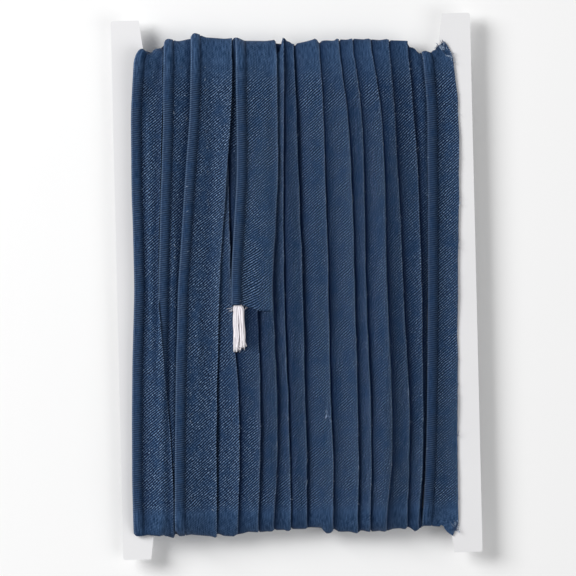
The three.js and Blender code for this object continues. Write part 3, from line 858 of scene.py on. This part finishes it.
# The bare end of the filler cord: four soft cotton strands, each of a few thin yarns with hardly any twist,
# that stick out of the cut and lie on the winding. Their ends are fuzzy, and some threads stand off.
YARN = 0.42
STRANDS = [
    {"start": -0.6, "end": -0.5, "length": 12.9},
    {"start": 0.2, "end": 0.15, "length": 12.3},
    {"start": 1, "end": 1.05, "length": 11.8},
    {"start": 1.65, "end": 1.8, "length": 11.8},
]
YARNS_IN_STRAND = 6
STRAND_RADIUS = 0.36
YARN_TWIST = 1.5
YARN_STATIONS = 26
YARN_SIDES = 6
INSIDE = 1.3
front_rows = np.nonzero(at_front)[0]


def winding_height(x, y):
    """How far the winding stands off the card's face at places on its front."""
    row = front_rows[np.clip(np.rint((NOTCH_FLOOR - y) / FRONT_STEP).astype(int), 0, len(front_rows) - 1)]
    column = np.clip(np.rint((x - across[0]) / ACROSS_STEP).astype(int), 0, len(across) - 1)
    pressed = tight[row, column]
    return wound[row, column] * (1 - pressed) + evened[row, column] * pressed


def tube(builder, path, radii, sides):
    """A closed tube of changing thickness along a path."""
    steps = np.gradient(path, axis=0)
    steps /= np.linalg.norm(steps, axis=1)[:, None]
    loops = []
    for place, step, radius in zip(path, steps, radii):
        side_way = np.cross(step, (0.13, 0.2, 1))
        side_way /= np.linalg.norm(side_way)
        up_way = np.cross(side_way, step)
        ring = []
        for i in range(sides):
            turned = 2 * math.pi * i / sides
            spot = place + radius * (math.cos(turned) * side_way + math.sin(turned) * up_way)
            ring.append(builder.verts.new([MM * v for v in spot]))
        loops.append([builder.edges.new((ring[i], ring[(i + 1) % sides])) for i in range(sides)])
        if len(loops) > 1:
            bmesh.ops.bridge_loops(builder, edges=loops[-2] + loops[-1])
    for loop in (loops[0], loops[-1]):
        bmesh.ops.holes_fill(builder, edges=loop)


builder = bmesh.new()
draw = np.random.default_rng(71)
cord_at = float(loose_turn.left[np.argmin(np.abs(station_y + 4.8) + 99 * ~at_front)]) + CORD / 2
cut_y = CUT_HEIGHT[0]
seat = float(winding_height(np.array(cord_at), np.array(cut_y - 2.0)))
share = np.linspace(0, 1, YARN_STATIONS)
for strand in STRANDS:
    for yarn in range(YARNS_IN_STRAND):
        turned = 2 * math.pi * yarn / YARNS_IN_STRAND + YARN_TWIST * share + draw.uniform(0, 1)
        spread = smooth_step(0.05, 0.2, share)
        middle = 0.3 * strand["start"] * (1 - spread) + spread * strand["start"]
        middle += (strand["end"] - strand["start"]) * smooth_step(0.2, 0.9, share)
        reach = strand["length"] + INSIDE + draw.normal(0, 0.2)
        y = cut_y + INSIDE - reach * share
        off_middle = STRAND_RADIUS * (0.55 if yarn == 0 else 1)
        x = cord_at + middle + off_middle * np.cos(turned) * (0.7 + 0.3 * share)
        x += wander(YARN_STATIONS, 3, 0.15, int(draw.integers(9999)))
        lying = winding_height(x, y) + YARN / 2 + STRAND_RADIUS * 0.8
        inside = seat + CORD * 0.5 + 0 * y
        drop = smooth_step(0.15, 0.95, share)
        z = CARD_MIDDLE + CARD_FACE + inside * (1 - drop) + lying * drop
        z = z + STRAND_RADIUS * 0.8 * np.sin(turned)
        radii = YARN / 2 * (1 + 0.12 * np.sin(9 * share + yarn)) * np.where(share > 0.97, 0.6, 1)
        tube(builder, np.stack([x, y, z], axis=-1), radii, YARN_SIDES)
# Its fuzz: a third of the fibres stand off at the cut, most of them to the left, and the rest at the ends.
FUZZ = 90
FIBRE, FIBRE_TIP = 0.07, 0.03
FIBRE_STATIONS = 5
FUZZ_WAYS = {"cut_left": (-1.2, -0.5), "cut_right": (0.9, 0), "ends": (0, -0.5)}
for fibre in range(FUZZ):
    strand = STRANDS[int(draw.integers(len(STRANDS)))]
    at_cut = fibre < FUZZ / 3
    if at_cut:
        from_y = cut_y - 0.3 - draw.uniform(0, 1.6)
        from_x = cord_at + strand["start"] + draw.normal(0, 0.35)
        way = FUZZ_WAYS["cut_right" if fibre % 3 == 0 else "cut_left"]
    else:
        from_y = cut_y - strand["length"] * draw.uniform(0.75, 1.0)
        from_x = cord_at + strand["end"] + draw.normal(0, 0.35)
        way = FUZZ_WAYS["ends"]
    way = draw.normal(way, 0.4)
    bend = draw.normal(0, 0.4, 2)
    steps = np.linspace(0, 1, FIBRE_STATIONS)
    x = from_x + way[0] * steps + bend[0] * steps ** 2
    y = from_y + way[1] * steps + bend[1] * steps ** 2
    z = CARD_MIDDLE + CARD_FACE + winding_height(x, y) + 0.25 + draw.uniform(0, 1.2) * (1 - 0.6 * steps)
    tube(builder, np.stack([x, y, z], axis=-1), np.linspace(FIBRE, FIBRE_TIP, FIBRE_STATIONS), 3)
bmesh.ops.recalc_face_normals(builder, faces=builder.faces)
for face in builder.faces:
    face.smooth = True
core = add_piece("cotton_strands", mesh_of(builder, "cotton_strands"))
COTTON_WHITE = (0.95, 0.93, 0.95, 1)
COTTON_SHADE = (0.87, 0.83, 0.88, 1)
cotton, tree, shader = new_material("cotton", Roughness=0.9)
place = add_node(tree, "ShaderNodeTexCoord").outputs["Object"]
fibres = add_noise(tree, stretched(tree, place, (1, 0.25, 1)), scale=9000)
tree.links.new(mix_colours(tree, fibres, COTTON_SHADE, COTTON_WHITE), shader.inputs["Base Color"])
add_relief(tree, shader, fibres, strength=0.4, depth=0.08)
core.data.materials.append(cotton)
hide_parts("core_end")
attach(core, "root")

# Loose threads of the satin: the first turn's cut end is frayed over the top of the card, its raw edge is
# worn at the foot, and every raw edge lets out a few short threads. They are too short to hang.
THREAD_RADIUS = 0.085
THREAD_COLOUR = (0.02, 0.05, 0.12, 1)
THREAD_PALE = (0.33, 0.43, 0.58, 1)
# Where threads are loose: the middle of the place, how far they spread, how many there are, their length and
# the way that they run
FRAYED = [
    {"at": (42.1, 65.3), "spread": (1.5, 1.4), "count": 60, "length": 1.1, "way": (-0.55, 0.8)},
    {"at": (43.9, 63.3), "spread": (0.7, 1), "count": 22, "length": 0.8, "way": (0.6, -0.5)},
    {"at": (42.4, -67.6), "spread": (0.9, 1.3), "count": 34, "length": 1, "way": (0.8, -0.5)},
    {"at": (7.4, -35), "spread": (0.3, 1.2), "count": 5, "length": 1.4, "way": (0.1, -1)},
    {"at": (46.3, 31), "spread": (0.2, 0.5), "count": 5, "length": 0.9, "way": (0.9, 0.2)},
]
EDGE_THREADS = 26
THREAD_STATIONS = 5
THREAD_SIDES = 4
ABOVE_ALL = 50
outside = bmesh.new()
for piece in piping:
    outside.from_mesh(piece.data)
surface = BVHTree.FromBMesh(outside)
outside.free()
builder = bmesh.new()
draw = np.random.default_rng(29)


def lay_thread(start, way, length):
    """One thread from a start across and up the front, lying on the winding with its end a little off it."""
    steps = np.linspace(0, 1, THREAD_STATIONS)
    bend = draw.normal(0, 0.25 * length, 2)
    path = []
    for step in steps:
        x = start[0] + length * way[0] * step + bend[0] * step ** 2
        y = start[1] + length * way[1] * step + bend[1] * step ** 2
        hit = surface.ray_cast((MM * x, MM * y, MM * ABOVE_ALL), (0, 0, -1))[0]
        z = hit.z / MM if hit else path[-1][2] if path else None
        if z is None:
            return
        path.append((x, y, z + THREAD_RADIUS * (0.6 + 2 * step)))
    path = np.array(path)
    path[:, 2] = np.maximum(path[:, 2], path[0, 2] - 0.5)
    tube(builder, path, THREAD_RADIUS * np.linspace(1, 0.6, THREAD_STATIONS), THREAD_SIDES)


for place in FRAYED:
    for _ in range(place["count"]):
        start = draw.normal(place["at"], np.array(place["spread"]) / 1.6)
        way = np.array(place["way"]) + draw.normal(0, 0.35, 2)
        lay_thread(start, way, place["length"] * draw.uniform(0.5, 1.2))
for number in range(FIRST, OVER_TUCKED):
    for _ in range(EDGE_THREADS):
        row = front_rows[int(draw.integers(len(front_rows)))]
        start = (turns[number].raw[row] - 0.15, station_y[row])
        lay_thread(start, (draw.uniform(0.2, 1), draw.normal(0, 0.8)), draw.uniform(0.3, 0.8))
bmesh.ops.recalc_face_normals(builder, faces=builder.faces)
threads = add_piece("loose_threads", mesh_of(builder, "loose_threads"))
thread_cloth, tree, shader = new_material("loose_thread_satin", Roughness=0.6)
place = add_node(tree, "ShaderNodeTexCoord").outputs["Object"]
mottle = add_noise(tree, place, scale=900)
paler = add_range(tree, mottle, 0.45, 0.65)
tree.links.new(mix_colours(tree, paler, THREAD_COLOUR, THREAD_PALE), shader.inputs["Base Color"])
add_relief(tree, shader, mottle, strength=0.3, depth=0.05)
threads.data.materials.append(thread_cloth)
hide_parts("wound_piping")
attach(threads, "root")

# The table and the light: a white table, a large soft light from the upper left, and a weaker one opposite.
# The lights' powers are in watts, and their sizes and places in metres. Both are aimed at the card.
HALF_TABLE = 2
TABLE_WHITE = (0.95, 0.95, 0.95, 1)
LIGHTS = [
    {"name": "main_light", "power": 11.7, "size": 0.6, "place": (-0.8, 0.4, 0.7)},
    {"name": "fill_light", "power": 3.5, "size": 0.8, "place": (0.7, -0.3, 0.9)},
]
ROOM_LIGHT = 0.3
builder = bmesh.new()
bmesh.ops.create_grid(builder, x_segments=1, y_segments=1, size=HALF_TABLE)
table = add_piece("table", mesh_of(builder, "table"))
table_white, tree, shader = new_material("white_table", Base_Color=TABLE_WHITE, Roughness=0.9)
table.data.materials.append(table_white)
for given in LIGHTS:
    light = bpy.data.lights.new(given["name"], "AREA")
    light.energy = given["power"]
    light.size = given["size"]
    lamp = bpy.data.objects.new(given["name"], light)
    lamp.location = given["place"]
    lamp.rotation_euler = lamp.location.to_track_quat("Z", "Y").to_euler()
    bpy.context.scene.collection.objects.link(lamp)
world = bpy.data.worlds.new("studio")
world.use_nodes = True
sky = world.node_tree.nodes["Background"]
sky.inputs["Color"].default_value = (1, 1, 1, 1)
sky.inputs["Strength"].default_value = ROOM_LIGHT
bpy.context.scene.world = world
bpy.context.scene.view_settings.view_transform = "Standard"
